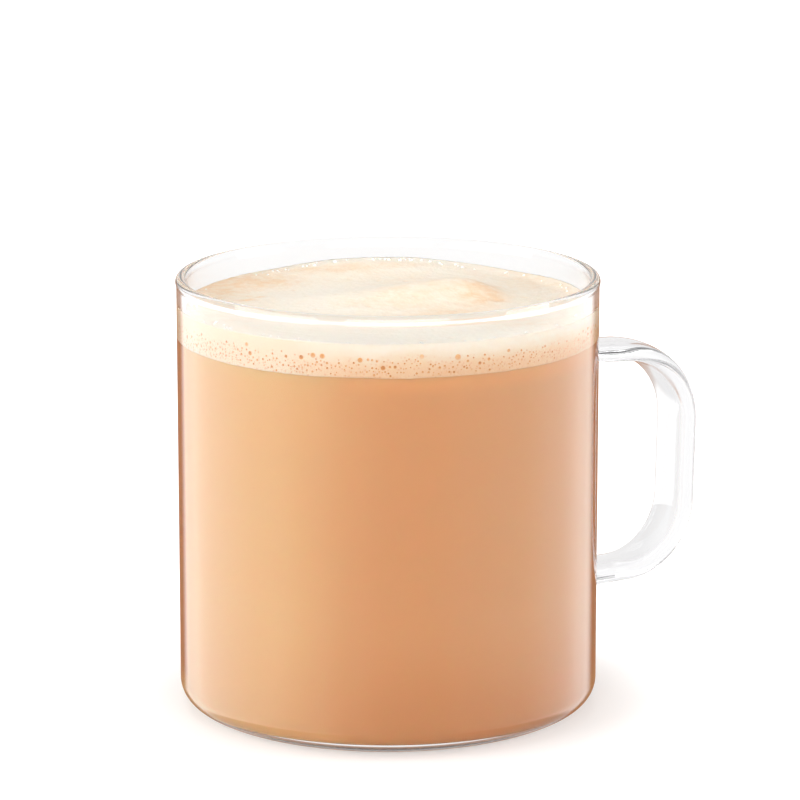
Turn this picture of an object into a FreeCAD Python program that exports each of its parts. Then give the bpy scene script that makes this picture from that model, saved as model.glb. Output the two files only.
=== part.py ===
import FreeCAD, Part
import math
import os

import Sketcher

# A vanilla cappuccino in its clear glass mug, in millimetres.
# Frame: +Z up, origin at the middle of the foot, handle towards +X.

doc = FreeCAD.newDocument("vanilla_cappuccino")

driving_sizes = {
    # glass body
    "mug_radius": 44.0,
    "mug_height": 92.0,
    "wall": 1.8,
    "floor_thickness": 2.4,
    "lip_radius": 1.1,
    "lip_blend": 3.0,
    "heel_radius": 5.0,
    "foot_radius": 12.0,
    "heel_run": 8.5,
    "inner_heel_radius": 5.0,
    "punt_run": 5.0,
    "punt_depth": 0.9,
    "punt_blend": 8.0,
    # handle, a flat oval strap bent into a D
    "strap_width": 12.2,
    "strap_thickness": 4.6,
    "strap_edge_radius": 1.9,
    "grip_gap": 26.4,
    "upper_root_below_rim": 21.0,
    "lower_root": 21.3,
    "upper_droop": 4.0,
    "lower_rise": 0.8,
    "grip_lean": 1.5,
    "upper_bend": 16.4,
    "lower_bend": 14.9,
    "weld_radius": 2.0,
    # contents, down from the rim
    "foam_below_rim": 6.0,
    "foam_depth": 6.7,
}

# Rises and hollows of the foam: bearing and turn in degrees from +X, the rest in mm.
# "out" is measured from the mug's axis and "inset" from the inner wall. A swell is "length"
# long ahead of its top and "tail" long behind it, so it can be steep at one end like a dune.
foam_swells = {
    "mound": {
        "bearing": 1.5, "out": 18.2, "rise": 3.3, "length": 6.5, "tail": 18.0, "breadth": 9.0, "turn": -5.0,
    },
    "shoulder": {
        "bearing": 105.0, "out": 4.2, "rise": 1.1, "length": 16.0, "tail": 16.0, "breadth": 9.0, "turn": -30.0,
    },
    "bank": {
        "bearing": 62.0, "inset": 3.0, "rise": 1.5, "length": 20.0, "tail": 20.0, "breadth": 9.0, "turn": 152.0,
    },
    "hollow": {
        "bearing": 124.0, "out": 27.7, "rise": -0.5, "length": 13.0, "tail": 13.0, "breadth": 8.0, "turn": -30.0,
    },
}
foam_grid_steps = 20  # spans of the surface net each way across the mug


# ---------------------------------------------------------------- document helpers

def make_sheet(groups):
    """Write every driving size into a spreadsheet, one aliased cell a row."""
    table = doc.addObject("Spreadsheet::Sheet", "sizes")
    for row, (alias, value) in enumerate(groups.items(), start=1):
        table.set(f"A{row}", alias)
        table.set(f"B{row}", str(value))
        table.setAlias(f"B{row}", alias)
    doc.recompute()
    return table


all_sizes = dict(driving_sizes)
for swell_name, swell in foam_swells.items():
    all_sizes.update({f"{swell_name}_{key}": value for key, value in swell.items()})
sheet = make_sheet(all_sizes)


def size(alias):
    return float(sheet.get(alias))


# Heights that follow the rim, as expressions for the document and as numbers for this script.
UPPER_ROOT = "(sizes.mug_height - sizes.upper_root_below_rim)"
DRINK_LEVEL = "(sizes.mug_height - sizes.foam_below_rim - sizes.foam_depth)"


def upper_root():
    return size("mug_height") - size("upper_root_below_rim")


def foam_level():
    return size("mug_height") - size("foam_below_rim")


def drink_level():
    return foam_level() - size("foam_depth")


def vec(x, y, z=0.0):
    return FreeCAD.Vector(x, y, z)


def make_body(label):
    body = doc.addObject("PartDesign::Body", label)
    body.Label = label
    return body


def origin_feature(body, role):
    return next(item for item in body.Origin.OriginFeatures if item.Role == role)


def sketch_on(body, name, role):
    sketch = body.newObject("Sketcher::SketchObject", name)
    sketch.AttachmentSupport = [(origin_feature(body, role), "")]
    sketch.MapMode = "FlatFace"
    return sketch


def add_line(sketch, start, end):
    return sketch.addGeometry(Part.LineSegment(vec(*start), vec(*end)), False)


def add_arc(sketch, centre, radius, start_deg, end_deg):
    """Add an arc that runs anticlockwise from start_deg to end_deg."""
    circle = Part.Circle(vec(*centre), vec(0, 0, 1), radius)
    arc = Part.ArcOfCircle(circle, math.radians(start_deg), math.radians(end_deg))
    return sketch.addGeometry(arc, False)


def join(sketch, kind, pairs):
    """Tie end points together, by "Coincident" or by "Tangent"."""
    for first, first_end, second, second_end in pairs:
        sketch.addConstraint(Sketcher.Constraint(kind, first, first_end, second, second_end))


def drive(sketch, name, expression, kind, *where):
    """Add a dimension to a sketch and bind it to the sheet."""
    index = sketch.addConstraint(Sketcher.Constraint(kind, *where))
    sketch.renameConstraint(index, name)
    sketch.setExpression(f"Constraints.{name}", expression)


X_AXIS = -1   # the sketch's own axes, as Sketcher numbers them
Z_AXIS = -2
ORIGIN = (-1, 1)
START, END, CENTRE = 1, 2, 3


def revolve(body, sketch, name):
    """Turn a half profile round the sketch's vertical axis."""
    turned = body.newObject("PartDesign::Revolution", name)
    turned.Profile = sketch
    turned.ReferenceAxis = (sketch, ["V_Axis"])
    turned.Angle = 360.0
    doc.recompute()
    return turned


# ---------------------------------------------------------------- glass mug

def wall_profile(body):
    """Half section of the glass: recess, foot, heel, wall, rounded lip, inner wall and floor."""
    sketch = sketch_on(body, "wall_profile", "XZ_Plane")
    radius, height = size("mug_radius"), size("mug_height")
    wall, floor = size("wall"), size("floor_thickness")
    lip, blend = size("lip_radius"), size("lip_blend")
    heel, foot, inner_heel = size("heel_radius"), size("foot_radius"), size("inner_heel_radius")
    foot_edge = radius - size("heel_run")
    punt_edge = foot_edge - size("punt_run")
    punt, punt_blend = size("punt_depth"), size("punt_blend")

    # the punt is a shallow flat recess whose edge curves down to the ring it stands on
    blend_span = math.sqrt(2 * punt_blend * punt - punt**2)
    recess = add_line(sketch, (0, punt), (punt_edge - blend_span, punt))
    edge_angle = math.degrees(math.atan2(punt_blend - punt, blend_span))
    edge_centre = (punt_edge - blend_span, punt - punt_blend)
    recess_edge = add_arc(sketch, edge_centre, punt_blend, edge_angle, 90)
    ring = add_line(sketch, (punt_edge, 0), (foot_edge, 0))

    # two tangent arcs lift the foot into the wall
    turn = math.acos((size("heel_run") - heel) / (foot - heel))
    heel_top = foot - (foot - heel) * math.sin(turn)
    split = -math.degrees(turn)
    foot_arc = add_arc(sketch, (foot_edge, foot), foot, -90, split)
    heel_arc = add_arc(sketch, (radius - heel, heel_top), heel, split, 0)

    # a bead closes the lip and swells a little to both sides of the wall
    lip_z = height - lip
    swell = math.acos((wall / 2 + blend) / (lip + blend))
    blend_z = lip_z - (lip + blend) * math.sin(swell)
    swell_deg = math.degrees(swell)
    outer = add_line(sketch, (radius, heel_top), (radius, blend_z))
    outer_blend = add_arc(sketch, (radius + blend, blend_z), blend, 180 - swell_deg, 180)
    bead = add_arc(sketch, (radius - wall / 2, lip_z), lip, -swell_deg, 180 + swell_deg)
    inner_blend = add_arc(sketch, (radius - wall - blend, blend_z), blend, 0, swell_deg)
    inner = add_line(sketch, (radius - wall, blend_z), (radius - wall, floor + inner_heel))
    inner_centre = (radius - wall - inner_heel, floor + inner_heel)
    inner_arc = add_arc(sketch, inner_centre, inner_heel, -90, 0)
    floor_line = add_line(sketch, (inner_centre[0], floor), (0, floor))
    axis_line = add_line(sketch, (0, floor), (0, punt))

    join(sketch, "Tangent", [
        (ring, END, foot_arc, START),
        (foot_arc, END, heel_arc, START),
        (heel_arc, END, outer, START),
        (outer, END, outer_blend, END),
        (outer_blend, START, bead, START),
        (bead, END, inner_blend, END),
        (inner_blend, START, inner, START),
        (inner, END, inner_arc, END),
        (inner_arc, START, floor_line, START),
        (recess, END, recess_edge, END),
    ])
    join(sketch, "Coincident", [
        (floor_line, END, axis_line, START),
        (axis_line, END, recess, START),
        (recess_edge, START, ring, START),
    ])
    for point, axis in (((recess, START), Z_AXIS), ((floor_line, END), Z_AXIS),
                        ((ring, START), X_AXIS), ((ring, END), X_AXIS)):
        sketch.addConstraint(Sketcher.Constraint("PointOnObject", *point, axis))
    for line in (outer, inner):
        sketch.addConstraint(Sketcher.Constraint("Vertical", line))
    for line in (floor_line, recess):
        sketch.addConstraint(Sketcher.Constraint("Horizontal", line))
    sketch.addConstraint(Sketcher.Constraint("Equal", outer_blend, inner_blend))

    drive(sketch, "outer_radius", "sizes.mug_radius", "DistanceX", *ORIGIN, outer, START, radius)
    drive(sketch, "inner_radius", "sizes.mug_radius - sizes.wall",
          "DistanceX", *ORIGIN, inner, START, radius - wall)
    drive(sketch, "lip_centre", "sizes.mug_radius - sizes.wall / 2",
          "DistanceX", *ORIGIN, bead, CENTRE, radius - wall / 2)
    drive(sketch, "lip_height", "sizes.mug_height - sizes.lip_radius",
          "DistanceY", *ORIGIN, bead, CENTRE, lip_z)
    drive(sketch, "lip_radius", "sizes.lip_radius", "Radius", bead, lip)
    drive(sketch, "lip_blend", "sizes.lip_blend", "Radius", outer_blend, blend)
    drive(sketch, "heel_radius", "sizes.heel_radius", "Radius", heel_arc, heel)
    drive(sketch, "foot_radius", "sizes.foot_radius", "Radius", foot_arc, foot)
    drive(sketch, "foot_edge", "sizes.mug_radius - sizes.heel_run",
          "DistanceX", *ORIGIN, ring, END, foot_edge)
    drive(sketch, "punt_edge", "sizes.mug_radius - sizes.heel_run - sizes.punt_run",
          "DistanceX", *ORIGIN, ring, START, punt_edge)
    drive(sketch, "punt_depth", "sizes.punt_depth", "DistanceY", *ORIGIN, recess, START, punt)
    drive(sketch, "punt_blend", "sizes.punt_blend", "Radius", recess_edge, punt_blend)
    drive(sketch, "floor_thickness", "sizes.floor_thickness",
          "DistanceY", *ORIGIN, floor_line, END, floor)
    drive(sketch, "inner_heel_radius", "sizes.inner_heel_radius", "Radius", inner_arc, inner_heel)
    return sketch


def handle_spine(body):
    """Centre line of the strap: out from the wall, down and back in, with two wide bends."""
    sketch = sketch_on(body, "handle_spine", "XZ_Plane")
    root = size("mug_radius") - size("wall") / 2
    reach = size("mug_radius") + size("grip_gap") + size("strap_thickness") / 2
    upper, lower = upper_root(), size("lower_root")
    upper_bend, lower_bend = size("upper_bend"), size("lower_bend")
    droop, rise, lean = size("upper_droop"), size("lower_rise"), size("grip_lean")

    # close starting places, which the constraints then settle
    top_z = upper - upper_bend
    foot_z = lower + lower_bend
    upper_arm = add_line(sketch, (root, upper), (reach - upper_bend, upper))
    upper_arc = add_arc(sketch, (reach - upper_bend, top_z), upper_bend, -lean, 90 - droop)
    grip = add_line(sketch, (reach, top_z), (reach, foot_z))
    lower_arc = add_arc(sketch, (reach - lower_bend, foot_z), lower_bend, rise - 90, -lean)
    lower_arm = add_line(sketch, (root, lower), (reach - lower_bend, lower))

    join(sketch, "Tangent", [
        (upper_arm, END, upper_arc, END),
        (upper_arc, START, grip, START),
        (grip, END, lower_arc, END),
        (lower_arc, START, lower_arm, END),
    ])
    root_x = "sizes.mug_radius - sizes.wall / 2"
    drive(sketch, "upper_root_x", root_x, "DistanceX", *ORIGIN, upper_arm, START, root)
    drive(sketch, "upper_root_z", UPPER_ROOT, "DistanceY", *ORIGIN, upper_arm, START, upper)
    drive(sketch, "lower_root_x", root_x, "DistanceX", *ORIGIN, lower_arm, START, root)
    drive(sketch, "lower_root_z", "sizes.lower_root", "DistanceY", *ORIGIN, lower_arm, START, lower)
    drive(sketch, "upper_bend", "sizes.upper_bend", "Radius", upper_arc, upper_bend)
    drive(sketch, "lower_bend", "sizes.lower_bend", "Radius", lower_arc, lower_bend)
    drive(sketch, "reach", "sizes.mug_radius + sizes.grip_gap + sizes.strap_thickness / 2",
          "DistanceX", *ORIGIN, grip, START, reach)
    drive(sketch, "upper_droop", "-sizes.upper_droop * 1 deg",
          "Angle", upper_arm, math.radians(-droop))
    drive(sketch, "grip_lean", "-(90 + sizes.grip_lean) * 1 deg",
          "Angle", grip, math.radians(-90 - lean))
    drive(sketch, "lower_rise", "sizes.lower_rise * 1 deg",
          "Angle", lower_arm, math.radians(rise))
    return sketch


def strap_section(body):
    """Flat oval at the upper root: crowned faces between round edges."""
    sketch = sketch_on(body, "strap_section", "YZ_Plane")
    sketch.setExpression("AttachmentOffset.Base.z", "sizes.mug_radius - sizes.wall / 2")
    middle = upper_root()
    edge = size("strap_edge_radius")
    half_width, half_thick = size("strap_width") / 2, size("strap_thickness") / 2

    # a crown arc touches both edge circles from outside
    edge_x = half_width - edge
    crown = (edge_x**2 + half_thick**2 - edge**2) / (2 * (half_thick - edge))
    sink = crown - half_thick
    tip = math.degrees(math.atan2(sink, edge_x))
    top = add_arc(sketch, (0, middle - sink), crown, tip, 180 - tip)
    left = add_arc(sketch, (-edge_x, middle), edge, 180 - tip, 180 + tip)
    bottom = add_arc(sketch, (0, middle + sink), crown, 180 + tip, 360 - tip)
    right = add_arc(sketch, (edge_x, middle), edge, -tip, tip)

    join(sketch, "Tangent", [
        (top, END, left, START),
        (left, END, bottom, START),
        (bottom, END, right, START),
        (right, END, top, START),
    ])
    sketch.addConstraint(Sketcher.Constraint("Equal", top, bottom))
    sketch.addConstraint(Sketcher.Constraint("PointOnObject", top, CENTRE, Z_AXIS))
    drive(sketch, "edge_radius", "sizes.strap_edge_radius", "Radius", right, edge)
    drive(sketch, "edge_radius_left", "sizes.strap_edge_radius", "Radius", left, edge)
    drive(sketch, "section_height", UPPER_ROOT, "DistanceY", *ORIGIN, right, CENTRE, middle)
    drive(sketch, "section_level", UPPER_ROOT, "DistanceY", *ORIGIN, left, CENTRE, middle)
    drive(sketch, "edge_spacing", "sizes.strap_width - 2 * sizes.strap_edge_radius",
          "DistanceX", left, CENTRE, right, CENTRE, 2 * edge_x)
    drive(sketch, "crown_radius",
          "((sizes.strap_width / 2 - sizes.strap_edge_radius)^2 + (sizes.strap_thickness / 2)^2"
          " - sizes.strap_edge_radius^2) / (sizes.strap_thickness - 2 * sizes.strap_edge_radius)",
          "Radius", top, crown)
    return sketch


def weld_edges(shape):
    """Names of the edges where the strap meets the outside of the wall."""
    radius, width = size("mug_radius"), size("strap_width")
    names = []
    for index, edge in enumerate(shape.Edges, start=1):
        spread = edge.BoundBox.YLength
        if edge.Degenerated or edge.BoundBox.XMin < 0 or not 0.01 < spread < 1.01 * width:
            continue
        if all(abs(math.hypot(point.x, point.y) - radius) < 0.01 for point in edge.discretize(5)):
            names.append(f"Edge{index}")
    return names


def make_glass_mug():
    body = make_body("glass_mug")
    revolve(body, wall_profile(body), "turned_wall")
    spine = handle_spine(body)
    section = strap_section(body)
    doc.recompute()

    strap = body.newObject("PartDesign::AdditivePipe", "strap")
    strap.Profile = section
    strap.Spine = (spine, [f"Edge{number}" for number in range(1, 6)])
    doc.recompute()

    # the strap's hot ends flow out onto the wall
    welds = body.newObject("PartDesign::Fillet", "welds")
    welds.Base = (strap, weld_edges(strap.Shape))
    welds.setExpression("Radius", "sizes.weld_radius")
    doc.recompute()
    return body


# ---------------------------------------------------------------- coffee

def make_coffee():
    """The drink fills the glass from its floor to the underside of the foam."""
    body = make_body("coffee")
    sketch = sketch_on(body, "drink_profile", "XZ_Plane")
    inner = size("mug_radius") - size("wall")
    heel, floor, level = size("inner_heel_radius"), size("floor_thickness"), drink_level()

    heel_arc = add_arc(sketch, (inner - heel, floor + heel), heel, -90, 0)
    side = add_line(sketch, (inner, floor + heel), (inner, level))
    surface = add_line(sketch, (inner, level), (0, level))
    axis_line = add_line(sketch, (0, level), (0, floor))
    base = add_line(sketch, (0, floor), (inner - heel, floor))

    join(sketch, "Tangent", [(base, END, heel_arc, START), (heel_arc, END, side, START)])
    join(sketch, "Coincident", [
        (side, END, surface, START),
        (surface, END, axis_line, START),
        (axis_line, END, base, START),
    ])
    sketch.addConstraint(Sketcher.Constraint("Vertical", side))
    sketch.addConstraint(Sketcher.Constraint("Horizontal", surface))
    sketch.addConstraint(Sketcher.Constraint("Horizontal", base))
    for corner in (START, END):
        sketch.addConstraint(Sketcher.Constraint("PointOnObject", axis_line, corner, Z_AXIS))
    drive(sketch, "inner_radius", "sizes.mug_radius - sizes.wall",
          "DistanceX", *ORIGIN, side, END, inner)
    drive(sketch, "inner_heel_radius", "sizes.inner_heel_radius", "Radius", heel_arc, heel)
    drive(sketch, "floor_thickness", "sizes.floor_thickness",
          "DistanceY", *ORIGIN, base, START, floor)
    drive(sketch, "drink_level", DRINK_LEVEL, "DistanceY", *ORIGIN, surface, END, level)
    revolve(body, sketch, "turned_drink")
    return body


# ---------------------------------------------------------------- milk foam

def swell_height(name, x, y):
    """Height that one swell adds at a place: a smooth oval hill."""
    keys = foam_swells[name]
    inner = size("mug_radius") - size("wall")
    out = size(f"{name}_out") if "out" in keys else inner - size(f"{name}_inset")
    bearing = math.radians(size(f"{name}_bearing"))
    turn = math.radians(size(f"{name}_turn"))
    dx = x - out * math.cos(bearing)
    dy = y - out * math.sin(bearing)
    along = dx * math.cos(turn) + dy * math.sin(turn)
    along /= size(f"{name}_length") if along > 0 else size(f"{name}_tail")
    across = (dy * math.cos(turn) - dx * math.sin(turn)) / size(f"{name}_breadth")
    return size(f"{name}_rise") * math.exp(-along**2 - across**2)


def foam_height(x, y):
    return foam_level() + sum(swell_height(name, x, y) for name in foam_swells)


def foam_surface():
    """Smooth sheet through the foam's heights, a little wider than the mug."""
    half = size("mug_radius")
    ticks = [half * (2 * step / foam_grid_steps - 1) for step in range(foam_grid_steps + 1)]
    net = [[vec(x, y, foam_height(x, y)) for y in ticks] for x in ticks]
    surface = Part.BSplineSurface()
    surface.interpolate(net)
    return surface.toShape()


def make_milk_foam():
    """Foam floats on the drink: a round plug of the bore, cut by the foam's own surface."""
    crown = doc.addObject("Part::Feature", "foam_crown")
    crown.Shape = foam_surface().extrude(vec(0, 0, -foam_level()))

    plug = doc.addObject("Part::Cylinder", "foam_plug")
    plug.setExpression("Radius", "sizes.mug_radius - sizes.wall")
    plug.setExpression("Height", f"sizes.mug_height - {DRINK_LEVEL}")
    plug.setExpression("Placement.Base.z", DRINK_LEVEL)

    foam = doc.addObject("Part::Common", "milk_foam")
    foam.Label = "milk_foam"
    foam.Base = plug
    foam.Tool = crown
    doc.recompute()
    return foam


# ---------------------------------------------------------------- build, check and write

def check_document():
    """Stop if any object failed to compute."""
    for item in doc.Objects:
        faults = [state for state in item.State if state in ("Invalid", "Error")]
        if faults:
            raise RuntimeError(f"{item.Label} is {faults}")


def write_parts(sub_parts):
    os.makedirs("parts", exist_ok=True)
    for sub_part in sub_parts:
        shape = sub_part.Shape
        if shape.isNull() or not shape.isValid() or len(shape.Solids) != 1:
            raise RuntimeError(f"{sub_part.Label} is not one valid solid")
        print(f"{sub_part.Label}: {shape.Volume / 1000:.1f} cm3")
        shape.exportStep(f"parts/{sub_part.Label}.step")


sub_parts = [make_glass_mug(), make_coffee(), make_milk_foam()]
doc.recompute()
check_document()
write_parts(sub_parts)
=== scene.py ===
import bmesh
import bpy
import math
import random
import numpy as np
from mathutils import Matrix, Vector, noise
from mathutils.bvhtree import BVHTree


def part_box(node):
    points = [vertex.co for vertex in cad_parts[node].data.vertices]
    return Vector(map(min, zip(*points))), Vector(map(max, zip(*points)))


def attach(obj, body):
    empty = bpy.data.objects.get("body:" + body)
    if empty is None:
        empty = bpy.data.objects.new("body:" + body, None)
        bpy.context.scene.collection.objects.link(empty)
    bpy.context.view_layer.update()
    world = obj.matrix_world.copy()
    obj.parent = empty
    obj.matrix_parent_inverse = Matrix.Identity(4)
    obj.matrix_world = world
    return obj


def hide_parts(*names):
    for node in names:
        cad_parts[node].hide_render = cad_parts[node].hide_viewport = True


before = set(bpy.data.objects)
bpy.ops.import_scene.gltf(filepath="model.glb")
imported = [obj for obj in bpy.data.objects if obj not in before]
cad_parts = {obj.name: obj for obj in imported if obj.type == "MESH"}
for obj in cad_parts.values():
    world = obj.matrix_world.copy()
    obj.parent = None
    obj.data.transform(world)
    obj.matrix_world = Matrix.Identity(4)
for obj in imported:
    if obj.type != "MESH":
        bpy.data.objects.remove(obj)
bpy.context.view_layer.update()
mm = 0.001
rng = random.Random(7)


def radians(degrees):
    return degrees * math.pi / 180


# right and away as the main camera sees them, in the part's frame
cameraAzimuth = radians(30)
rightWay = Vector((math.cos(cameraAzimuth), -math.sin(cameraAzimuth), 0))
awayWay = Vector((math.sin(cameraAzimuth), math.cos(cameraAzimuth), 0))


def place(right, away, up):
    return rightWay * right + awayWay * away + Vector((0, 0, up))


def bearingWay(bearing):
    # level direction at a bearing from the camera, right positive
    return rightWay * math.sin(radians(bearing)) - awayWay * math.cos(radians(bearing))


def newMaterial(name):
    material = bpy.data.materials.new(name)
    material.use_nodes = True
    tree = material.node_tree
    tree.nodes.clear()
    output = tree.nodes.new("ShaderNodeOutputMaterial")
    return material, tree, output


def feed(tree, socket, value):
    # links another node's output, or sets a plain value
    if isinstance(value, bpy.types.NodeSocket):
        tree.links.new(value, socket)
    else:
        socket.default_value = value


def addNode(tree, kind, settings=None, **inputs):
    node = tree.nodes.new(kind)
    for key, value in (settings or {}).items():
        setattr(node, key, value)
    for key, value in inputs.items():
        feed(tree, node.inputs[key.replace("_", " ")], value)
    return node


def mathNode(tree, operation, a, b=0.0, clamp=False):
    node = addNode(tree, "ShaderNodeMath", {"operation": operation, "use_clamp": clamp})
    feed(tree, node.inputs[0], a)
    feed(tree, node.inputs[1], b)
    return node.outputs[0]


def vectorNode(tree, operation, a, b=(0, 0, 0)):
    node = addNode(tree, "ShaderNodeVectorMath", {"operation": operation})
    feed(tree, node.inputs[0], a)
    feed(tree, node.inputs[1], b)
    return node.outputs["Value" if operation in ("DOT_PRODUCT", "LENGTH") else "Vector"]


def rangeNode(tree, value, low, high, kind="SMOOTHSTEP"):
    # nothing at low, full at high
    return addNode(tree, "ShaderNodeMapRange", {"interpolation_type": kind}, Value=value,
                   From_Min=low, From_Max=high).outputs[0]


def spanNode(tree, share, low, high):
    return addNode(tree, "ShaderNodeMapRange", None, Value=share, To_Min=low, To_Max=high).outputs[0]


def rampNode(tree, value, stops, interpolation="EASE"):
    node = tree.nodes.new("ShaderNodeValToRGB")
    ramp = node.color_ramp
    ramp.interpolation = interpolation
    while len(ramp.elements) > len(stops):
        ramp.elements.remove(ramp.elements[-1])
    while len(ramp.elements) < len(stops):
        ramp.elements.new(1.0)
    for element, (position, color) in zip(ramp.elements, stops):
        element.position = position
        element.color = color if len(color) == 4 else (*color, 1)
    tree.links.new(value, node.inputs[0])
    return node.outputs[0]


def srgb(red, green, blue):
    def linear(value):
        value = value / 255
        return value / 12.92 if value <= 0.04045 else ((value + 0.055) / 1.055) ** 2.4
    return (linear(red), linear(green), linear(blue), 1)


def mixColor(tree, factor, first, second):
    node = addNode(tree, "ShaderNodeMix", {"data_type": "RGBA"})
    # the node keeps its two colour inputs after those of its other kinds
    for index, value in ((0, factor), (6, first), (7, second)):
        feed(tree, node.inputs[index], value)
    return node.outputs[2]


def groupNode(tree, group, **inputs):
    return addNode(tree, "ShaderNodeGroup", {"node_tree": group}, **inputs)


def addShader(tree, output, **inputs):
    shader = addNode(tree, "ShaderNodeBsdfPrincipled", None, **inputs)
    tree.links.new(shader.outputs[0], output.inputs["Surface"])


def addObject(name, data):
    added = bpy.data.objects.new(name, data)
    bpy.context.scene.collection.objects.link(added)
    return added


def newPiece(name, mesh, smooth=True):
    mesh.polygons.foreach_set("use_smooth", [smooth] * len(mesh.polygons))
    return addObject(name, mesh)


def newMesh(name, verts, faces, smooth=True):
    mesh = bpy.data.meshes.new(name)
    mesh.from_pydata([tuple(v) for v in verts], [], faces)
    mesh.validate()
    return newPiece(name, mesh, smooth)


def addValues(piece, name, values):
    layer = piece.data.attributes.new(name, "FLOAT", "POINT")
    layer.data.foreach_set("value", [float(value) for value in values])


def skinOf(mesh):
    # the mesh as a surface that rays can be dropped on
    return BVHTree.FromPolygons([v.co for v in mesh.vertices], [p.vertices for p in mesh.polygons])


def between(start, end, steps):
    # the evenly spaced values between two ends, without the ends
    return [start + (end - start) * k / steps for k in range(1, steps)]


def makeMottleGroup():
    # soft uneven patches, flatter where Lean is above 1 and taller below it
    group = bpy.data.node_groups.new("mottle", "ShaderNodeTree")
    for name, kind, value in (("Vector", "NodeSocketVector", None), ("Scale", "NodeSocketFloat", 50.0),
                              ("Lean", "NodeSocketFloat", 1.0), ("Spread", "NodeSocketFloat", 0.3)):
        socket = group.interface.new_socket(name=name, in_out="INPUT", socket_type=kind)
        if value is not None:
            socket.default_value = value
    group.interface.new_socket(name="Mask", in_out="OUTPUT", socket_type="NodeSocketFloat")
    given = group.nodes.new("NodeGroupInput")
    result = group.nodes.new("NodeGroupOutput")
    stretch = addNode(group, "ShaderNodeCombineXYZ", None, X=1.0, Y=1.0, Z=given.outputs["Lean"])
    spot = vectorNode(group, "MULTIPLY", given.outputs["Vector"], stretch.outputs[0])
    cloud = addNode(group, "ShaderNodeTexNoise", None, Vector=spot,
                    Scale=given.outputs["Scale"], Detail=4.0, Roughness=0.6)
    low = mathNode(group, "SUBTRACT", 0.5, given.outputs["Spread"])
    high = mathNode(group, "ADD", 0.5, given.outputs["Spread"])
    group.links.new(rangeNode(group, cloud.outputs[0], low, high), result.inputs["Mask"])
    return group


mottleGroup = makeMottleGroup()

# glass mug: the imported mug's own sizes in mm, cut finely enough for clean refraction
glassSettings = {
    "radius": 44.0, "height": 92.0, "wall": 1.8, "floor": 2.4, "lip": 1.1, "lipBlend": 3.0,
    "heel": 5.0, "foot": 12.0, "heelRun": 8.5, "innerHeel": 5.0,
    "recessRun": 5.0, "recess": 0.9, "recessBlend": 8.0, "recessCore": 12.0, "recessLead": 0.6,
    "strapWidth": 12.2, "strapThick": 4.6, "strapEdge": 1.9, "gripGap": 26.4,
    "upperRoot": 71.0, "lowerRoot": 21.3, "droop": 4.0, "rise": 0.8, "lean": 1.5,
    "upperBend": 16.4, "lowerBend": 14.9, "weld": 2.0, "sharpAngle": 22,
    # steps round the mug and along each stretch of its outline and strap
    "segments": 320, "sinkSteps": 8, "footRows": 3, "footSteps": 16, "heelSteps": 14, "wallRows": 24,
    "blendSteps": 6, "lipSteps": 32, "boreRows": 16, "innerHeelSteps": 18, "floorRows": 3,
    "bendSteps": 40, "runSteps": 30, "crownSteps": 12, "edgeSteps": 14,
    # painted shade: greyer and browner by how far the glass turns away from the eye
    "paintedEdgeShade": [(0.28, (1, 1, 1)), (0.5, (0.975, 0.972, 0.975)), (0.7, (0.94, 0.935, 0.94)),
             (0.9, (0.87, 0.85, 0.86)), (1.0, (0.74, 0.66, 0.62))],
    "strapPaintedEdgeShade": [(0.2, (1, 1, 1)), (0.5, (0.72, 0.715, 0.72)), (0.95, (0.64, 0.61, 0.6))],
    "strapReach": (44.3 * mm, 47 * mm), "ior": 1.49, "absorb": (0.10, 0.0, 0.16, 1), "density": 1.8,
}


def arcPoints(centre, radius, startDeg, endDeg, steps):
    points = []
    for step in range(steps + 1):
        turn = radians(startDeg + (endDeg - startDeg) * step / steps)
        points.append((centre[0] + radius * math.cos(turn), centre[1] + radius * math.sin(turn)))
    return points


def wallProfile():
    size = glassSettings
    outer, wall, floor = size["radius"], size["wall"], size["floor"]
    lip, blend, innerHeel = size["lip"], size["lipBlend"], size["innerHeel"]
    recess, sinkRadius, rows = size["recess"], size["recessBlend"], size["floorRows"]
    inner = outer - wall
    footEdge = outer - size["heelRun"]
    recessEdge = footEdge - size["recessRun"]
    span = math.sqrt(2 * sinkRadius * recess - recess ** 2)
    sinkCentre = (recessEdge - span, recess - sinkRadius)
    sinkAngle = math.degrees(math.atan2(sinkRadius - recess, span))
    turn = math.degrees(math.acos((size["heelRun"] - size["heel"]) / (size["foot"] - size["heel"])))
    heelTop = size["foot"] - (size["foot"] - size["heel"]) * math.sin(radians(turn))
    lipUp = size["height"] - lip
    swell = math.degrees(math.acos((wall / 2 + blend) / (lip + blend)))
    blendUp = lipUp - (lip + blend) * math.sin(radians(swell))
    # underside, out to the foot
    points = [(0, recess), (size["recessCore"], recess), (sinkCentre[0] - size["recessLead"], recess)]
    points += arcPoints(sinkCentre, sinkRadius, 90, sinkAngle, size["sinkSteps"])
    points += [(x, 0) for x in between(recessEdge, footEdge, size["footRows"])]
    # heel and outer wall, up to the lip
    points += arcPoints((footEdge, size["foot"]), size["foot"], -90, -turn, size["footSteps"])
    points += arcPoints((outer - size["heel"], heelTop), size["heel"], -turn, 0, size["heelSteps"])[1:]
    points += [(outer, z) for z in between(heelTop, blendUp, size["wallRows"])]
    points += arcPoints((outer + blend, blendUp), blend, 180, 180 - swell, size["blendSteps"])
    points += arcPoints((outer - wall / 2, lipUp), lip, -swell, 180 + swell, size["lipSteps"])[1:]
    # inside, down to the middle of the floor
    points += arcPoints((inner - blend, blendUp), blend, swell, 0, size["blendSteps"])[1:]
    points += [(inner, z) for z in between(blendUp, floor + innerHeel, size["boreRows"])]
    points += arcPoints((inner - innerHeel, floor + innerHeel), innerHeel, 0, -90, size["innerHeelSteps"])
    points += [((inner - innerHeel) * k / rows, floor) for k in reversed(range(rows))]
    return [(x * mm, z * mm) for x, z in points]


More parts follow.
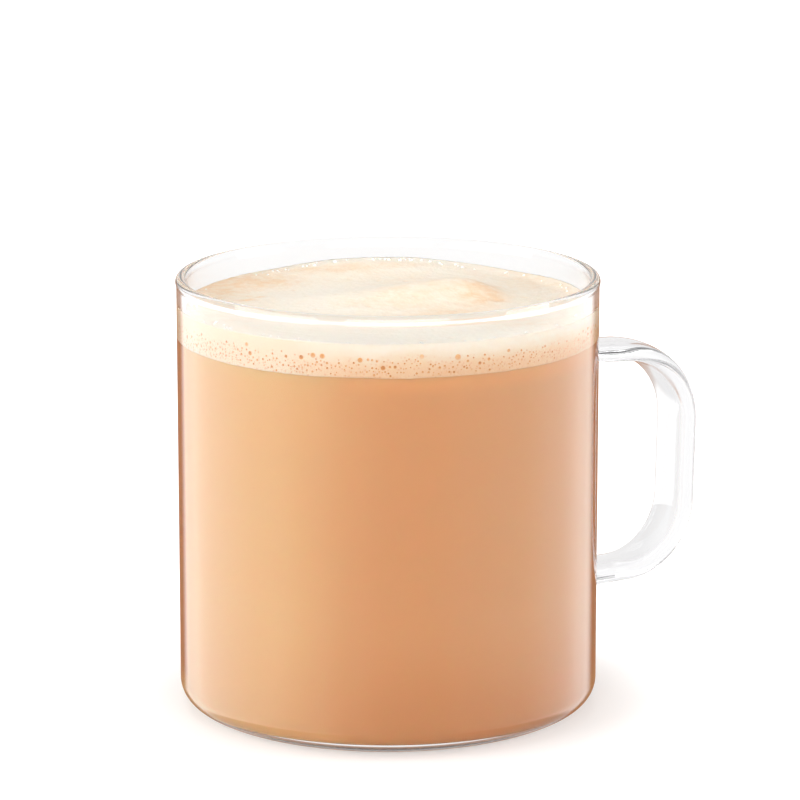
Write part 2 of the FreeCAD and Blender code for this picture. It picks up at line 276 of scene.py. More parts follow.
def cutRadii(start, corner, end, radius, steps):
    # rounds one corner of a path with an arc and returns the arc's points
    into = (corner - start).normalized()
    out = (end - corner).normalized()
    turn = into.angle(out)
    reach = radius * math.tan(turn / 2)
    first = corner - into * reach
    normal = (out - into * out.dot(into)).normalized()
    points = []
    for step in range(steps + 1):
        along = turn * step / steps
        points.append(first + into * radius * math.sin(along) + normal * radius * (1 - math.cos(along)))
    return points


def strapPath():
    size = glassSettings
    root = size["radius"] - size["wall"] / 2
    reach = size["radius"] + size["gripGap"] + size["strapThick"] / 2
    droop, rise, lean = radians(size["droop"]), radians(size["rise"]), radians(size["lean"])
    tangent = size["upperBend"] * math.tan((math.pi / 2 + lean - droop) / 2)
    cornerX = reach + tangent * math.sin(lean)
    upperCorner = Vector((cornerX, 0, size["upperRoot"] - (cornerX - root) * math.tan(droop)))
    lowerX, lowerZ = cornerX, size["lowerRoot"]
    # a few rounds settle where the leaning grip meets the rising lower arm
    for _ in range(6):
        lowerX = cornerX - math.tan(lean) * (upperCorner.z - lowerZ)
        lowerZ = size["lowerRoot"] + (lowerX - root) * math.tan(rise)
    lowerCorner = Vector((lowerX, 0, lowerZ))
    start = Vector((root, 0, size["upperRoot"]))
    end = Vector((root, 0, size["lowerRoot"]))
    upperArc = cutRadii(start, upperCorner, lowerCorner, size["upperBend"], size["bendSteps"])
    lowerArc = cutRadii(upperCorner, lowerCorner, end, size["lowerBend"], size["bendSteps"])

    def run(first, last, dense):
        # steps crowd towards the wall, where the strap flares
        count = size["runSteps"]
        return [first.lerp(last, (k / count) ** 2 if dense else k / count) for k in range(count)]

    path = run(start, upperArc[0], True) + upperArc
    path += run(upperArc[-1], lowerArc[0], False)[1:] + lowerArc
    return path + list(reversed(run(end, lowerArc[-1], True)))


def strapSection():
    size = glassSettings
    halfWidth, halfThick, edge = size["strapWidth"] / 2, size["strapThick"] / 2, size["strapEdge"]
    reach = halfWidth - edge
    crown = (reach ** 2 + halfThick ** 2 - edge ** 2) / (2 * (halfThick - edge))
    sink = crown - halfThick
    tip = math.degrees(math.atan2(sink, reach))
    points = arcPoints((0, -sink), crown, tip, 180 - tip, size["crownSteps"])[:-1]
    points += arcPoints((-reach, 0), edge, 180 - tip, 180 + tip, size["edgeSteps"])[:-1]
    points += arcPoints((0, sink), crown, 180 + tip, 360 - tip, size["crownSteps"])[:-1]
    return points + arcPoints((reach, 0), edge, -tip, tip, size["edgeSteps"])[:-1]


def makeStrap():
    size = glassSettings
    weld = size["weld"]
    path, section = strapPath(), strapSection()
    verts, faces = [], []
    count = len(section)
    for index, point in enumerate(path):
        before, after = path[max(index - 1, 0)], path[min(index + 1, len(path) - 1)]
        ahead = (after - before).normalized()
        outward = Vector((-ahead.z, 0, ahead.x)) * -1
        for across, up in section:
            spot = point + Vector((0, across, 0)) - outward * up
            away = spot.x - math.sqrt(max(size["radius"] ** 2 - across ** 2, 0))
            if away < weld:
                # the strap flares out where it runs into the wall
                near = min(max(weld - away, 0.0), weld)
                grow = weld - math.sqrt(weld ** 2 - near ** 2)
                flare = Vector((0, across / size["strapWidth"], 0)) - outward * (up / size["strapThick"])
                spot = spot + flare.normalized() * grow
            verts.append(spot * mm)
    for index in range(len(path) - 1):
        for k in range(count):
            n = (k + 1) % count
            a, b = index * count, (index + 1) * count
            faces.append((a + k, a + n, b + n, b + k))
    faces.append(tuple(reversed(range(count))))
    faces.append(tuple(range((len(path) - 1) * count, len(path) * count)))
    return newMesh("strapCut", verts, faces)


def revolve(name, profile, segments):
    verts, faces, rings = [], [], []
    for radius, z in profile:
        if radius < 1e-9:
            rings.append([len(verts)])
            verts.append((0, 0, z))
        else:
            rings.append(list(range(len(verts), len(verts) + segments)))
            for k in range(segments):
                turn = 2 * math.pi * (k + 0.5) / segments
                verts.append((radius * math.cos(turn), radius * math.sin(turn), z))
    for low, high in zip(rings, rings[1:]):
        for k in range(segments):
            n = (k + 1) % segments
            if len(low) == 1:
                faces.append((low[0], high[n], high[k]))
            elif len(high) == 1:
                faces.append((low[k], low[n], high[0]))
            else:
                faces.append((low[k], low[n], high[n], high[k]))
    return newMesh(name, verts, faces)


def flipOutward(piece):
    work = bmesh.new()
    work.from_mesh(piece.data)
    bmesh.ops.recalc_face_normals(work, faces=work.faces)
    work.to_mesh(piece.data)
    work.free()


def joinPieces(name, base, tool):
    # welds two closed pieces into one solid
    weld = base.modifiers.new("weld", "BOOLEAN")
    weld.operation = "UNION"
    weld.solver = "EXACT"
    weld.object = tool
    mesh = bpy.data.meshes.new_from_object(base.evaluated_get(bpy.context.evaluated_depsgraph_get()))
    mesh.name = name
    mesh.materials.clear()
    piece = newPiece(name, mesh)
    mesh.set_sharp_from_angle(angle=radians(glassSettings["sharpAngle"]))
    for old in (base, tool):
        bpy.data.objects.remove(old, do_unlink=True)
    return piece


def makeGlassMaterial():
    look = glassSettings
    material, tree, output = newMaterial("clearGlass")
    # painted shade: clear face on, greyer where the surface turns away
    facing = addNode(tree, "ShaderNodeLayerWeight", None, Blend=0.5).outputs["Facing"]
    paintedEdgeShade = rampNode(tree, facing, look["paintedEdgeShade"], "LINEAR")
    # the strap is thicker glass, and its painted shade greys sooner
    spot = addNode(tree, "ShaderNodeTexCoord").outputs["Object"]
    reach = vectorNode(tree, "LENGTH", vectorNode(tree, "MULTIPLY", spot, (1, 1, 0)))
    onStrap = rangeNode(tree, reach, *look["strapReach"], "LINEAR")
    paintedEdgeShade = mixColor(tree, onStrap, paintedEdgeShade, rampNode(tree, facing, look["strapPaintedEdgeShade"], "LINEAR"))
    addShader(tree, output, Base_Color=paintedEdgeShade, Metallic=0.0, Roughness=0.0, IOR=look["ior"],
              Transmission_Weight=1.0)
    absorb = addNode(tree, "ShaderNodeVolumeAbsorption", None, Color=look["absorb"],
                     Density=look["density"])
    tree.links.new(absorb.outputs[0], output.inputs["Volume"])
    return material


def makeGlass():
    wall = revolve("wallCut", wallProfile(), glassSettings["segments"])
    strap = makeStrap()
    flipOutward(wall)
    flipOutward(strap)
    return joinPieces("glassMug", wall, strap)


glass = makeGlass()
glass.data.materials.append(makeGlassMaterial())
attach(glass, "root")
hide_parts("glass_mug")
print("glass done", len(glass.data.polygons), [round(v / mm, 2) for v in glass.dimensions])

# inside sizes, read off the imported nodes
coffeeLow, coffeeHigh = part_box("coffee")
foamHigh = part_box("milk_foam")[1]
boreRadius = coffeeHigh[0]
drinkLevel = coffeeHigh[2]
floorLevel = coffeeLow[2]
print("bore", round(boreRadius / mm, 2), "levels", round(floorLevel / mm, 2), round(drinkLevel / mm, 2))

# coffee: bites into the glass wall and floor, and stands clear only where the heel starts
coffeeSettings = {
    "bite": 0.3 * mm, "gap": 0.06 * mm, "gapTurn": 36, "innerHeel": 5.0 * mm, "heelTurn": 3, "wallRows": 12,
    "floorShares": (0.0, 0.5, 0.96), "overlap": 0.4 * mm, "capLow": 0.02 * mm, "capHigh": 0.03 * mm,
    "capInset": 0.1 * mm, "segments": 192, "clouds": 28.0, "waver": 0.08,
    # colours by the share of the way from left to right
    "body": [(0.18, (0.78, 0.488, 0.206)), (0.52, (0.74, 0.38, 0.158)), (0.9, (0.72, 0.389, 0.17))],
    "heel": [(0.12, (0.97, 0.54, 0.22)), (0.3, (0.97, 0.48, 0.19)), (0.5, (0.8, 0.345, 0.13)),
             (0.7, (0.81, 0.305, 0.105)), (0.9, (0.76, 0.3, 0.11))],
    "paintedLowShade": (0.66, 0.29, 0.1, 1), "upper": (0.84, 0.415, 0.17, 1), "paintedSkimShade": (0.56, 0.22, 0.085, 1),
    # where each colour starts and is full
    "paintedLowShadeHeight": (30 * mm, 2 * mm), "heelHeight": (6.5 * mm, 1.5 * mm),
    "upperDepth": (4.5 * mm, 0.5 * mm), "skimFacing": (0.256, 0.266), "skimHeight": (6 * mm, 11 * mm),
    "scatter": 0.6, "scatterReach": (4.0, 2.2, 1.2),
}


def makeCoffeeMaterial():
    look = coffeeSettings
    # partly painted light and partly milk mixed unevenly: creamier on the left, where the lamp falls;
    # painted shade: darker and redder low down on the right
    material, tree, output = newMaterial("milkyCoffee")
    spot = addNode(tree, "ShaderNodeTexCoord").outputs["Object"]
    height = addNode(tree, "ShaderNodeSeparateXYZ", None, Vector=spot).outputs[2]
    clouds = groupNode(tree, mottleGroup, Vector=spot, Scale=look["clouds"], Lean=0.6, Spread=0.3)
    waver = mathNode(tree, "SUBTRACT", clouds.outputs["Mask"], 0.5)
    waver = mathNode(tree, "MULTIPLY", waver, look["waver"])
    across = mathNode(tree, "MULTIPLY", vectorNode(tree, "DOT_PRODUCT", spot, rightWay), 0.5 / boreRadius)
    across = mathNode(tree, "ADD", mathNode(tree, "ADD", across, 0.5), waver, clamp=True)
    # partly painted light: the left, where the lamp falls, is creamier
    color = rampNode(tree, across, look["body"])
    # painted shade: darker and redder low down, most on the right
    paintedLowShade = rampNode(tree, across, [(0.1, (0.3, 0.3, 0.3)), (0.62, (1, 1, 1))])
    paintedLowShade = mathNode(tree, "MULTIPLY", rangeNode(tree, height, *look["paintedLowShadeHeight"]), paintedLowShade)
    color = mixColor(tree, paintedLowShade, color, look["paintedLowShade"])
    # painted light: the rounded heel sees little light, so it is painted paler and redder, most on the left
    heel = rangeNode(tree, height, *look["heelHeight"])
    color = mixColor(tree, heel, color, rampNode(tree, across, look["heel"]))
    # a brighter band right under the foam, right of the middle
    near = rangeNode(tree, height, *(drinkLevel - depth for depth in look["upperDepth"]))
    side = rampNode(tree, across, [(0.3, (0, 0, 0)), (0.5, (0.8, 0.8, 0.8))])
    color = mixColor(tree, mathNode(tree, "MULTIPLY", near, side), color, look["upper"])
    # painted shade: deeper colour where the line of sight skims the wall
    facing = addNode(tree, "ShaderNodeLayerWeight", None, Blend=0.5).outputs["Facing"]
    paintedSkimShade = rangeNode(tree, facing, *look["skimFacing"])
    paintedSkimShade = mathNode(tree, "MULTIPLY", paintedSkimShade, rangeNode(tree, height, *look["skimHeight"]))
    color = mixColor(tree, paintedSkimShade, color, look["paintedSkimShade"])
    addShader(tree, output, Base_Color=color, Roughness=0.4, Specular_IOR_Level=0.0,
              Subsurface_Weight=look["scatter"], Subsurface_Radius=look["scatterReach"],
              Subsurface_Scale=mm)
    return material


def makeCoffee():
    size = coffeeSettings
    heel, bite = size["innerHeel"], size["bite"]
    centre = (boreRadius - heel, floorLevel + heel)
    profile = [(centre[0] * share, floorLevel - bite) for share in size["floorShares"]]
    for turnDeg in range(size["heelTurn"], 91, size["heelTurn"]):
        grown = heel - size["gap"] if turnDeg <= size["gapTurn"] else heel + bite
        turn = radians(turnDeg)
        profile.append((centre[0] + grown * math.sin(turn), centre[1] - grown * math.cos(turn)))
    top = drinkLevel + size["overlap"]
    wall, rows = boreRadius + bite, size["wallRows"]
    profile += [(wall, centre[1] + (top - centre[1]) * step / rows) for step in range(1, rows + 1)]
    # a nearly flat top, out of sight under the foam
    high = top + size["capHigh"]
    profile += [(wall, top + size["capLow"]), (boreRadius - size["capInset"], high), (0.0, high)]
    return revolve("coffeeDrink", profile, size["segments"])


coffee = makeCoffee()
coffee.data.materials.append(makeCoffeeMaterial())
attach(coffee, "root")
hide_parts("coffee")
print("coffee done", len(coffee.data.polygons))

# foam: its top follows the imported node, with real froth relief
foamSettings = {
    "cells": 232, "bite": 0.34 * mm, "sideRows": 26, "climb": 0.25 * mm, "climbRun": 1.2 * mm,
    "rayInset": 0.15 * mm, "smoothing": 6, "depth": 6.9 * mm,
    # noise on top and along the border: scale, strength in mm, shift
    "relief": [(0.11, 0.14, (0, 0, 0)), (0.45, 0.06, (9, 4, 0)), (1.35, 0.06, (2, 7, 3))],
    "border": [(3.1, 0.16), (11.0, 0.096)],
    # arcs left by the stirring: centre right and away, scales out and round, strength in mm, run-in
    "stirCentre": (6.0, 12.0), "stirScale": (0.8, 1.1), "stir": 0.045, "stirRun": 12,
    # tan towards the two sides of the top, and down the wall with painted shade at its right edge
    "tanReach": 42, "tanLeft": 0.75, "tanRight": 0.4, "wallTan": 0.07, "wallEdgeShade": 0.14,
    "leftShadeReach": 21,
    # tan patches on top, with painted shade on the mound's right face: right, away, half-widths across and
    # along, strength
    "stainsAndShade": [
        (-27.5, 23.5, 9.5, 7.0, 0.85), (-13.0, 33.0, 10.0, 3.4, 0.7), (2.0, 36.0, 10.0, 2.4, 0.45),
        (-34.5, 14.0, 4.0, 8.0, 0.5), (2.5, -6.5, 9.0, 3.6, 0.3), (-7.9, -4.4, 5.0, 3.0, 0.25),
        (20.6, 6.8, 3.2, 7.5, 0.9), (14.7, -12.7, 9.0, 5.5, 0.6), (-29.4, 3.0, 1.8, 1.6, 0.7),
        (-27.0, 7.2, 1.4, 1.4, 0.7), (10.2, 18.0, 1.0, 1.4, 0.6), (30.0, 20.0, 6.0, 8.0, 0.35),
        (22.3, -0.2, 2.4, 1.0, 0.8), (10.0, 3.0, 15.0, 9.0, 0.42), (-8.0, -26.0, 12.0, 4.0, 0.15),
        (26.0, -20.0, 7.0, 5.0, 0.3), (2.0, 24.0, 16.0, 9.0, 0.3), (0.0, 0.0, 7.0, 5.0, 0.25),
        (18.0, 0.0, 6.0, 9.0, 0.4), (24.0, 30.0, 9.0, 8.0, 0.2), (4.0, -15.5, 20.0, 3.5, 0.4)],
    # open bubbles on top: right, away, radius, depth; then how many small ones, how far out and how big
    "pits": [
        (-29.4, 3.0, 0.9, 0.3), (-28.2, 4.4, 0.6, 0.22), (-27.0, 7.2, 0.7, 0.25), (-16.9, 5.1, 0.6, 0.2),
        (10.2, 18.0, 0.6, 0.25), (23.5, 15.8, 0.7, 0.25), (22.3, -0.2, 0.9, 0.25), (24.0, 0.6, 0.6, 0.2)],
    "smallPits": 46, "pitReach": 39.5, "pitRadius": (0.4, 0.75), "pitDepth": (0.08, 0.2),
    "pitSharpness": 1.5, "pitTan": 2.2,
    # wall colours by height in the layer, then the colours laid over them
    "wall": [(0.0, srgb(241, 196, 148)), (0.2, srgb(243, 204, 161)), (0.38, srgb(245, 212, 173)),
             (0.56, srgb(247, 227, 200)), (0.72, srgb(251, 237, 217)), (0.88, srgb(254, 243, 228))],
    "leftShadeCream": srgb(243, 226, 200), "tan": srgb(244, 208, 170), "fizz": srgb(234, 176, 126),
    "fleck": srgb(247, 228, 202), "leftShadeShare": 0.92, "fleckShare": 0.22, "wobble": 0.24,
    "wobbleScale": 150.0, "patchScale": 420.0, "fleckScale": 900.0, "fizzScale": 1300.0,
    "fizzEdge": (0.34, 0.18), "grainScale": 1500.0, "grainDepth": 0.2 * mm,
    "scatter": 0.35, "scatterReach": (1.6, 1.1, 0.8),
}


def discPoint(u, v):
    # carries a square grid onto a disc without crowding its middle
    if u == 0 and v == 0:
        return 0.0, 0.0
    if abs(u) > abs(v):
        radius, turn = u, math.pi / 4 * v / u
    else:
        radius, turn = v, math.pi / 2 - math.pi / 4 * u / v
    return radius * math.cos(turn), radius * math.sin(turn)


def foamHeights(points):
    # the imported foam's top under each grid point, smoothed
    skin = skinOf(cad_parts["milk_foam"].data)
    limit = boreRadius - foamSettings["rayInset"]
    heights = []
    for x, y in points:
        radius = math.hypot(x, y)
        shrink = min(1.0, limit / radius) if radius > 0 else 1.0
        hit = skin.ray_cast(Vector((x * shrink, y * shrink, foamHigh[2] + 10 * mm)), Vector((0, 0, -1)))
        heights.append(hit[0].z)
    side = foamSettings["cells"] + 1
    heights = np.array(heights).reshape(side, side)
    for _ in range(foamSettings["smoothing"]):
        padded = np.pad(heights, 1, mode="edge")
        around = padded[:-2, 1:-1] + padded[2:, 1:-1] + padded[1:-1, :-2] + padded[1:-1, 2:]
        heights = (around + 4 * heights) / 8
    return heights.ravel()


def relief(right, away):
    spot = Vector((right, away, 0))
    height = sum(noise.noise(spot * scale + Vector(shift)) * strength
                 for scale, strength, shift in foamSettings["relief"])
    centreRight, centreAway = foamSettings["stirCentre"]
    scaleOut, scaleRound = foamSettings["stirScale"]
    reach = math.hypot(right - centreRight, away - centreAway)
    bearing = math.atan2(away - centreAway, right - centreRight)
    stir = noise.noise(Vector((reach * scaleOut, bearing * scaleRound, 5))) * foamSettings["stir"]
    return (height + stir * min(1.0, reach / foamSettings["stirRun"])) * mm


def borderHeight(turn):
    ring = Vector((math.cos(turn), math.sin(turn), 0))
    wave = sum(strength * noise.noise(ring * scale) for scale, strength in foamSettings["border"])
    return drinkLevel + wave * mm


def stainAndShadeAt(right, away):
    total = 0.0
    for across, along, halfAcross, halfAlong, strength in foamSettings["stainsAndShade"]:
        reach = ((right - across) / halfAcross) ** 2 + ((away - along) / halfAlong) ** 2
        total += strength * math.exp(-reach) if reach < 9 else 0.0
    return total


def edgeTan(right):
    # deeper colour towards the two sides of the top
    size = foamSettings
    return (size["tanLeft"] if right < 0 else size["tanRight"]) * abs(right / size["tanReach"]) ** 3


def wallTan(right):
    # even on the left of the wall, fading and then deepening into painted shade on the right
    share = right / foamSettings["tanReach"]
    if right < 0:
        return foamSettings["wallTan"]
    return foamSettings["wallTan"] * (1 - share) + foamSettings["wallEdgeShade"] * share ** 3


def pitSpots():
    size = foamSettings
    pits = list(size["pits"])
    for _ in range(size["smallPits"]):
        reach = size["pitReach"] * math.sqrt(rng.random())
        turn = rng.uniform(0, 2 * math.pi)
        pits.append((reach * math.cos(turn), reach * math.sin(turn),
                     rng.uniform(*size["pitRadius"]), rng.uniform(*size["pitDepth"])))
    return pits


def foamTop(radius):
    size = foamSettings
    pits = pitSpots()
    n = size["cells"]
    flat = []
    for j in range(n + 1):
        for i in range(n + 1):
            x, y = discPoint(2 * i / n - 1, 2 * j / n - 1)
            flat.append((x * radius, y * radius))
    verts, stainsAndShade = [], []
    for (x, y), z in zip(flat, foamHeights(flat)):
        spot = Vector((x, y, 0)) / mm
        right, away = spot.dot(rightWay), spot.dot(awayWay)
        edge = max(0.0, 1 - (radius - math.hypot(x, y)) / size["climbRun"])
        stainAndShade = stainAndShadeAt(right, away) + edgeTan(right)
        dent = 0.0
        for across, along, half, depth in pits:
            reach = ((right - across) ** 2 + (away - along) ** 2) / half ** 2
            if reach < 4:
                dent += depth * math.exp(-reach * size["pitSharpness"])
                stainAndShade += depth * size["pitTan"] * math.exp(-reach)
        verts.append((x, y, z + relief(right, away) - dent * mm + size["climb"] * edge * edge))
        stainsAndShade.append(min(stainAndShade, 1.0))
    return verts, stainsAndShade


def makeFoam():
    n, rows = foamSettings["cells"], foamSettings["sideRows"]
    verts, stainsAndShade = foamTop(boreRadius + foamSettings["bite"])
    leftShades = [0.0] * len(verts)
    faces = []
    for j in range(n):
        for i in range(n):
            a = j * (n + 1) + i
            faces.append((a, a + 1, a + n + 2, a + n + 1))
    ring = list(range(n + 1)) + [j * (n + 1) + n for j in range(1, n + 1)]
    ring += [n * (n + 1) + i for i in range(n - 1, -1, -1)] + [j * (n + 1) for j in range(n - 1, 0, -1)]
    # the side runs down from the border of the top to a wavy lower border
    previous = ring
    for row in range(1, rows + 1):
        current = []
        for top in ring:
            x, y, z = verts[top]
            low = borderHeight(math.atan2(y, x))
            current.append(len(verts))
            verts.append((x, y, z + (low - z) * row / rows))
            right = Vector((x, y, 0)).dot(rightWay) / mm
            stainsAndShade.append(wallTan(right))
            # painted shade mask, full on the left of the wall
            leftShades.append(min(1.0, max(0.0, -right / foamSettings["leftShadeReach"])))
        for k in range(len(ring)):
            m = (k + 1) % len(ring)
            faces.append((previous[k], current[k], current[m], previous[m]))
        previous = current
    faces.append(tuple(previous))
    piece = newMesh("milkFoamLayer", verts, faces)
    addValues(piece, "stainAndShade", stainsAndShade)
    addValues(piece, "leftShade", leftShades)
    return piece


def makeFoamMaterial():
    look = foamSettings
    material, tree, output = newMaterial("milkFoamLook")
    spot = addNode(tree, "ShaderNodeTexCoord").outputs["Object"]
    up = addNode(tree, "ShaderNodeSeparateXYZ", None, Vector=spot).outputs[2]
    wobble = groupNode(tree, mottleGroup, Vector=spot, Scale=look["wobbleScale"], Lean=1.6, Spread=0.32)
    height = mathNode(tree, "DIVIDE", mathNode(tree, "SUBTRACT", up, drinkLevel), look["depth"])
    shift = mathNode(tree, "SUBTRACT", wobble.outputs["Mask"], 0.5)
    shift = mathNode(tree, "MULTIPLY", shift, look["wobble"])
    level = mathNode(tree, "ADD", height, shift, clamp=True)
    color = rampNode(tree, level, look["wall"])
    # painted shade: one even warm cream down the left side of the wall, where the lamp falls strongest
    leftShade = addNode(tree, "ShaderNodeAttribute", {"attribute_name": "leftShade"}).outputs["Fac"]
    even = mathNode(tree, "ADD", leftShade, mathNode(tree, "MULTIPLY", shift, 1.2), clamp=True)
    even = mathNode(tree, "MULTIPLY", mathNode(tree, "MULTIPLY", even, leftShade), look["leftShadeShare"])
    color = mixColor(tree, even, color, look["leftShadeCream"])
    # tan patches where the drink shows through the froth, and painted shade on the right face of the mound
    stainAndShade = addNode(tree, "ShaderNodeAttribute", {"attribute_name": "stainAndShade"}).outputs["Fac"]
    patches = groupNode(tree, mottleGroup, Vector=spot, Scale=look["patchScale"], Lean=1.0, Spread=0.22)
    soften = mathNode(tree, "ADD", mathNode(tree, "MULTIPLY", patches.outputs["Mask"], 0.7), 0.45)
    color = mixColor(tree, mathNode(tree, "MULTIPLY", stainAndShade, soften, clamp=True), color, look["tan"])
    # fine fizz, thickest low in the layer
    fizz = addNode(tree, "ShaderNodeTexVoronoi", None, Vector=spot, Scale=look["fizzScale"], Randomness=1.0)
    dots = rangeNode(tree, fizz.outputs["Distance"], *look["fizzEdge"])
    low = rampNode(tree, level, [
        (0.05, (0.8, 0.8, 0.8)), (0.45, (0.45, 0.45, 0.45)), (0.75, (0.0, 0.0, 0.0))])
    color = mixColor(tree, mathNode(tree, "MULTIPLY", dots, low), color, look["fizz"])
    # pale flecks break up the top
    flecks = groupNode(tree, mottleGroup, Vector=spot, Scale=look["fleckScale"], Lean=1.0, Spread=0.2)
    share = mathNode(tree, "MULTIPLY", flecks.outputs["Mask"], look["fleckShare"])
    color = mixColor(tree, share, color, look["fleck"])
    grain = addNode(tree, "ShaderNodeTexNoise", None, Vector=spot, Scale=look["grainScale"],
                    Detail=3.0, Roughness=0.6)
    bump = addNode(tree, "ShaderNodeBump", None, Strength=0.5, Distance=look["grainDepth"],
                   Height=grain.outputs[0])
    addShader(tree, output, Base_Color=color, Roughness=0.55, Normal=bump.outputs[0],
              Specular_IOR_Level=0.25, Subsurface_Weight=look["scatter"],
              Subsurface_Radius=look["scatterReach"], Subsurface_Scale=mm)
    return material


foam = makeFoam()
foam.data.materials.append(makeFoamMaterial())
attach(foam, "root")
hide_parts("milk_foam")
print("foam done", len(foam.data.polygons))

# bubbles pressed against the foam's side, sizes in mm
bubbleSettings = {
    "lift": 0.16, "liftShare": 0.4, "sink": 0.03, "apart": 0.07,
    # how deep the listed bubbles start: on the lamp's side, and past its bearing
    "lampBearing": -25, "lampShade": 2.1, "openShade": 1.25,
    # the others: how many, where, how big and how deep in colour
    "large": 90, "largeBearing": (52, 300), "largeHeight": (0.7, 5.2, 2.2), "largeRadius": (0.2, 0.5),
    "largeTone": (0.25, 0.9), "small": 1500, "smallHeight": (0.25, 4.6, 1.3),
    "smallRadius": (0.15, 0.33, 0.19), "smallTone": (0.5, 1.0),
    # spokes and rings of a bubble's mesh, by its radius
    "fineRadius": 0.24, "fineCuts": (20, 4), "plainCuts": (12, 3),
    "tone": [(0.0, srgb(246, 222, 190)), (0.3, srgb(241, 194, 142)), (0.6, srgb(230, 164, 98)),
             (1.0, srgb(200, 122, 62))],
    # bearing, height above the drink, radius, depth of colour
    "spots": [
        (-39.9, 3.08, 0.51, 0.4), (-45.8, 3.88, 0.25, 0.3), (-41.1, 4.8, 0.48, 0.25),
        (-42.8, 3.81, 0.27, 0.3), (-41.7, 2.28, 0.25, 0.3), (-35.5, 2.28, 0.29, 0.4),
        (-32.6, 1.01, 0.29, 0.5), (-23.7, 3.61, 0.53, 0.8), (-20.3, 4.22, 0.6, 0.5),
        (-17.7, 4.15, 0.6, 0.6), (-7.4, 3.69, 0.58, 0.6), (-1.3, 2.14, 0.55, 1.0),
        (1.9, 2.34, 0.38, 0.75), (0.5, 2.35, 0.29, 0.7), (-19.2, 2.86, 0.29, 0.5),
        (-16.4, 2.79, 0.32, 0.5), (-13.1, 2.92, 0.29, 0.5), (9.0, 4.37, 0.55, 0.25),
        (18.9, 3.89, 0.7, 0.4), (25.2, 2.29, 0.4, 0.85), (27.9, 2.91, 0.4, 0.6), (21.7, 2.92, 0.34, 0.5),
        (21.4, 1.51, 0.27, 0.7), (17.8, 0.89, 0.29, 0.8), (17.5, 1.92, 0.25, 0.6),
        (34.1, 4.14, 0.42, 0.4), (-28.2, 3.5, 0.38, 0.4), (-5.3, 3.83, 0.34, 0.4),
        (-4.2, 3.74, 0.29, 0.4), (39.2, 3.15, 0.29, 0.4), (41.3, 3.14, 0.27, 0.3),
        (12.0, 2.35, 0.25, 0.6), (-11.2, 2.38, 0.27, 0.4), (36.1, 1.6, 0.25, 0.5), (-9.8, 1.2, 0.21, 0.4),
        (31.9, 1.98, 0.23, 0.5), (-50.8, 1.23, 0.23, 0.2)],
}


def scatterBubbles():
    size = bubbleSettings
    # the lamp side washes bubbles out, so they start deeper there
    spots = []
    for bearing, height, radius, depth in size["spots"]:
        shade = size["lampShade"] if bearing < size["lampBearing"] else size["openShade"]
        spots.append((bearing, height, radius, min(1.0, depth * shade)))

    def drop(bearing, height, radius, depth):
        # keeps only bubbles that stand clear of the ones before
        for other in spots:
            turn = abs(bearing - other[0]) % 360
            gap = math.hypot(radians(min(turn, 360 - turn)) * boreRadius / mm, height - other[1])
            if gap < radius + other[2] + size["apart"]:
                return
        spots.append((bearing, height, radius, depth))

    for _ in range(size["large"]):
        drop(rng.uniform(*size["largeBearing"]), rng.triangular(*size["largeHeight"]),
             rng.uniform(*size["largeRadius"]), rng.uniform(*size["largeTone"]))
    for _ in range(size["small"]):
        bearing = rng.uniform(-180, 180)
        radius = rng.triangular(*size["smallRadius"])
        drop(bearing, rng.triangular(*size["smallHeight"]), radius, rng.uniform(*size["smallTone"]))
    return spots


def makeBubbles():
    size = bubbleSettings
    shell = boreRadius + foamSettings["bite"]
    verts, faces, tones = [], [], []
    for bearing, height, radius, depth in scatterBubbles():
        out = bearingWay(bearing)
        side = Vector((-out.y, out.x, 0))
        middle = Vector((0, 0, drinkLevel + height * mm))
        spokes, rings = size["fineCuts"] if radius > size["fineRadius"] else size["plainCuts"]
        lift = min(size["lift"], radius * size["liftShare"])
        start = len(verts)
        verts.append(middle + out * (shell + lift * mm))
        tones.append(depth)
        for ring in range(1, rings + 1):
            part = ring / rings
            rise = lift * (1 - part * part) - size["sink"] * part
            reach = radius * part
            for k in range(spokes):
                turn = 2 * math.pi * k / spokes
                flat = side * (reach * math.cos(turn)) + Vector((0, 0, reach * math.sin(turn)))
                spot = out * shell + flat * mm
                level = Vector((spot.x, spot.y, 0)).normalized() * (shell + rise * mm)
                verts.append(middle + level + Vector((0, 0, spot.z)))
                # paler at the rim, and painted shade a little deeper towards the top
                topShade = part * math.sin(turn)
                tones.append(depth * max(0.0, (1 - part ** 5) * (0.8 + 0.3 * topShade)))
        for k in range(spokes):
            n = (k + 1) % spokes
            faces.append((start, start + 1 + k, start + 1 + n))
            for ring in range(rings - 1):
                a, b = start + 1 + ring * spokes, start + 1 + (ring + 1) * spokes
                faces.append((a + k, b + k, b + n, a + n))
    piece = newMesh("foamBubbles", verts, faces)
    addValues(piece, "tone", tones)
    return piece


def makeBubbleMaterial():
    material, tree, output = newMaterial("bubbleLook")
    tone = addNode(tree, "ShaderNodeAttribute", {"attribute_name": "tone"}).outputs["Fac"]
    color = rampNode(tree, tone, bubbleSettings["tone"], "LINEAR")
    addShader(tree, output, Base_Color=color, Roughness=0.5, Specular_IOR_Level=0.1)
    return material


bubbles = makeBubbles()
bubbles.data.materials.append(makeBubbleMaterial())
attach(bubbles, "root")
print("bubbles done", len(bubbles.data.polygons))

